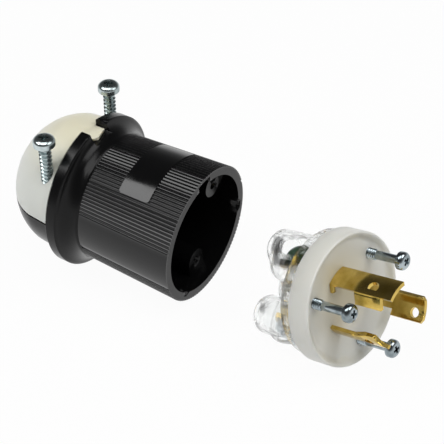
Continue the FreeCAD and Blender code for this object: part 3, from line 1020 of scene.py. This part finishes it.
@dataclass
class BladeHalf:
    """Milky face disc, clear wire chamber, blades, captive screws and terminals."""

    screw_circle: float = 12.7
    screw_angles: tuple[float, ...] = (-57.5, 62.5, 182.5)
    screw_seats: tuple[float, ...] = (8.0, 8.45, 7.95)
    thread_end: float = 1.2
    screw_tip: float = -5.9
    terminal_angles: tuple[float, ...] = (8.0, 128.0, 240.0)
    ground: GroundBlade = field(default_factory=GroundBlade)
    facet_depth: float = 0.12
    edge_round: float = 0.12
    edge_steps: int = 2
    edge_from_deg: float = 50.0

    def build(self) -> None:
        """Build every piece of this half."""
        self.dress("face_disc", "milky_face_disc", MILKY_NYLON.material())
        self.dress("wire_chamber", "clear_wire_chamber", CLEAR.material())
        brass = BRASS.material()
        self.blade("ground_blade", self.ground.build(), brass)
        faces = (self.ground.outer, self.ground.tab_seat)
        radii = faces + tuple(radius - self.ground.thickness for radius in faces)
        for node in ("line_blade_near", "line_blade_far"):
            self.blade(node, refined(node, INSERT_PLACE.matrix(), radii, self.facet_depth), brass)
        for node in ("wire_clamp_ground", "wire_clamp_near", "wire_clamp_far"):
            self.dress(node, f"{node}_brass", brass)
        # The captive screws and the near terminal screw take the zinc plate with painted shade.
        zinc = SHADED_ZINC.material()
        for index, (angle, seat) in enumerate(zip(self.screw_angles, self.screw_seats), start=1):
            self.captive_screw(f"assembly_screw_{index}", angle, seat, zinc)
        finishes = (
            ("terminal_screw_ground", GREEN_LACQUER.material(), "green_screw"),
            ("terminal_screw_near", zinc, "zinc_steel"),
            ("terminal_screw_far", brass, "brass"),
        )
        for (node, material, slot), angle in zip(finishes, self.terminal_angles):
            self.terminal_screw(node, angle, material)

    def dress(self, node: str, name: str, material: bpy.types.Material) -> None:
        """Dress one piece that keeps the node's shape."""
        whole = node_copy(node)
        finish_object(name, whole, Matrix.Identity(4), material, node, Sharp.PLAIN, recalc=False)

    def blade(self, node: str, bm: bmesh.types.BMesh, material: bpy.types.Material) -> None:
        """Dress one blade and round its edges.

        Args:
            node: Node of the blade.
            bm: Its mesh, in the half's own frame in millimetres.
            material: Its material.
        """
        piece = finish_object(
            f"{node}_brass", bm, INSERT_PLACE.matrix(), material, node, Sharp.BLADE, recalc=False,
        )
        bevel = piece.modifiers.new("rounded_edges", "BEVEL")
        bevel.width = self.edge_round * MM
        bevel.segments = self.edge_steps
        bevel.limit_method = "ANGLE"
        bevel.angle_limit = math.radians(self.edge_from_deg)
        bevel.harden_normals = True

    def captive_screw(self, node: str, angle: float, seat: float, material: bpy.types.Material) -> None:
        """Build one captive screw, drawn forward out of the disc.

        Args:
            node: Node of the screw.
            angle: Its angle about the axis.
            seat: Station of its head's seat.
            material: Its material.
        """
        screw = Screw(
            head_radius=2.35, head_height=2.0, length=seat - self.screw_tip, thread_radius=1.4, pitch=0.66,
            thread_from=seat - self.thread_end, shank_radius=1.15, drive_turn_deg=angle,
        )
        place = INSERT_PLACE.matrix() @ Matrix.Translation(ring_point(seat, self.screw_circle, angle))
        finish_object(
            node.replace("assembly", "captive"), screw.build(), place,
            material, node, Sharp.SCREW,
        )

    def terminal_screw(self, node: str, angle: float, material: bpy.types.Material) -> None:
        """Build one radial terminal screw.

        Args:
            node: Node of the screw.
            angle: Its angle about the axis.
            material: Its material.
        """
        screw = Screw(
            head_radius=3.15, head_height=2.0, length=4.7, thread_radius=1.75, pitch=0.7,
            drive=Drive.SLOT, drive_turn_deg=0.0,
        )
        seat = Matrix.Translation((self.ground.tab_hole[0], 0.0, self.ground.tab_seat))
        place = INSERT_PLACE.matrix() @ around(angle) @ seat @ UPRIGHT
        finish_object(f"{node}_slotted", screw.build(), place, material, node, Sharp.SCREW)


# The table, the lights and the camera

@dataclass(frozen=True)
class SoftBox:
    """A square soft box that faces the object."""

    name: str
    azimuth_deg: float
    elevation_deg: float
    spread_deg: float
    level: float
    distance: float = 0.6
    aim_height: float = 0.02

    def hang(self) -> None:
        """Hang the lamp. Its power follows from how bright its face looks."""
        around_z, up = math.radians(self.azimuth_deg), math.radians(self.elevation_deg)
        toward = Vector((math.cos(up) * math.cos(around_z), math.cos(up) * math.sin(around_z), math.sin(up)))
        size = 2.0 * self.distance * math.tan(math.radians(self.spread_deg) / 2.0)
        data = bpy.data.lights.new(self.name, "AREA")
        data.shape = "SQUARE"
        data.size = size
        data.energy = math.pi * size * size * self.level
        lamp = bpy.data.objects.new(self.name, data)
        lamp.location = toward * self.distance + Vector((0.0, 0.0, self.aim_height))
        lamp.rotation_mode = "QUATERNION"
        lamp.rotation_quaternion = (-toward).to_track_quat("-Z", "Y")
        bpy.context.scene.collection.objects.link(lamp)


@dataclass
class Studio:
    """White table, soft boxes and a surround that darkens overhead."""

    floor_half: float = 3.0
    table_colour: Colour = (0.86, 0.86, 0.86)
    table_roughness: float = 0.8
    table_glow: float = 0.96
    surround: tuple[Pair, ...] = ((0.0, 0.8), (0.16, 0.3), (0.38, 0.12), (0.6, 0.055), (0.8, 0.04))
    boxes: tuple[SoftBox, ...] = (
        SoftBox("key", -140.0, 57.0, 25.0, 5.2),
        SoftBox("front_top", -60.0, 76.0, 34.0, 3.2),
        SoftBox("right", 18.0, 46.0, 30.0, 3.4),
    )

    def build(self) -> None:
        """Build the table, the world and the lamps."""
        self.table()
        self.world()
        for box in self.boxes:
            box.hang()

    def table(self) -> None:
        """Build the white table, which shows as white and keeps a soft shadow."""
        bm = bmesh.new()
        bmesh.ops.create_grid(bm, x_segments=1, y_segments=1, size=self.floor_half)
        mesh = bpy.data.meshes.new("table")
        bm.to_mesh(mesh)
        bm.free()
        table = bpy.data.objects.new("table", mesh)
        bpy.context.scene.collection.objects.link(table)
        material, tree, shader = node_tree("table_white")
        shader.inputs["Base Color"].default_value = (*self.table_colour, 1.0)
        shader.inputs["Roughness"].default_value = self.table_roughness
        shader.inputs["Specular IOR Level"].default_value = 0.0
        glow = tree.nodes.new("ShaderNodeEmission")
        glow.inputs["Strength"].default_value = 1.0
        mix = tree.nodes.new("ShaderNodeMixShader")
        tree.links.new(self.seen_directly(tree, self.table_glow), mix.inputs["Fac"])
        tree.links.new(shader.outputs["BSDF"], mix.inputs[1])
        tree.links.new(glow.outputs["Emission"], mix.inputs[2])
        tree.links.new(mix.outputs["Shader"], tree.nodes["Material Output"].inputs["Surface"])
        mesh.materials.append(material)

    @staticmethod
    def seen_directly(tree: bpy.types.ShaderNodeTree, share: float) -> bpy.types.NodeSocket:
        """Tell the rays that see the table, straight or through something, from those that light the scene.

        Args:
            tree: The material's node tree.
            share: Value for camera, glossy and transmission rays.

        Returns:
            The socket that carries the share for those rays and nought for others.
        """
        path = tree.nodes.new("ShaderNodeLightPath")
        total = path.outputs["Is Camera Ray"]
        for kind in ("Is Glossy Ray", "Is Transmission Ray"):
            add = tree.nodes.new("ShaderNodeMath")
            add.operation = "MAXIMUM"
            tree.links.new(total, add.inputs[0])
            tree.links.new(path.outputs[kind], add.inputs[1])
            total = add.outputs[0]
        amount = tree.nodes.new("ShaderNodeMath")
        amount.operation = "MULTIPLY"
        amount.inputs[1].default_value = share
        tree.links.new(total, amount.inputs[0])
        return amount.outputs[0]

    def world(self) -> None:
        """Light the scene with a surround that is bright at the horizon and dark overhead."""
        world = bpy.data.worlds.new("surround")
        bpy.context.scene.world = world
        world.use_nodes = True
        tree = world.node_tree
        coords = tree.nodes.new("ShaderNodeTexCoord")
        parts = tree.nodes.new("ShaderNodeSeparateXYZ")
        ramp = tree.nodes.new("ShaderNodeValToRGB")
        steps = ramp.color_ramp.elements
        while len(steps) < len(self.surround):
            steps.new(0.5)
        for step, (height, level) in zip(steps, self.surround):
            step.position = height
            step.color = (level, level, level, 1.0)
        tree.links.new(coords.outputs["Generated"], parts.inputs["Vector"])
        tree.links.new(parts.outputs["Z"], ramp.inputs["Fac"])
        tree.links.new(ramp.outputs["Color"], tree.nodes["Background"].inputs["Color"])


@dataclass
class CameraRig:
    """The photographer's camera, fitted to the outlines in the photograph."""

    place_mm: tuple[float, float, float] = (150.284, -214.9, 235.1)
    heading_deg: float = 34.56
    pitch_deg: float = 38.83
    roll_deg: float = -4.27
    focal_px: float = 1300.0
    frame_px: float = 444.0
    sensor_mm: float = 36.0
    clip_m: Pair = (0.01, 10.0)

    def build(self) -> None:
        """Set up the scene's camera."""
        data = bpy.data.cameras.new("camera")
        data.sensor_width = self.sensor_mm
        data.lens = self.sensor_mm * self.focal_px / self.frame_px
        data.clip_start, data.clip_end = self.clip_m
        camera = bpy.data.objects.new("camera", data)
        turn = Matrix.Rotation(math.radians(self.heading_deg), 4, "Z")
        lean = Matrix.Rotation(math.radians(90.0 - self.pitch_deg), 4, "X")
        roll = Matrix.Rotation(math.radians(self.roll_deg), 4, "Z")
        camera.matrix_world = Matrix.Translation(Vector(self.place_mm) * MM) @ turn @ lean @ roll
        bpy.context.scene.collection.objects.link(camera)
        bpy.context.scene.camera = camera


def main() -> None:
    """Build the whole scene."""
    bpy.context.scene.view_settings.view_transform = "Standard"
    builders: dict[str, Callable[[], None]] = {
        "housing half": HousingHalf().build,
        "blade half": BladeHalf().build,
        "studio": Studio().build,
        "camera": CameraRig().build,
    }
    for name, build in builders.items():
        build()
        log.info("%s is built", name)


if __name__ == "__main__":
    main()
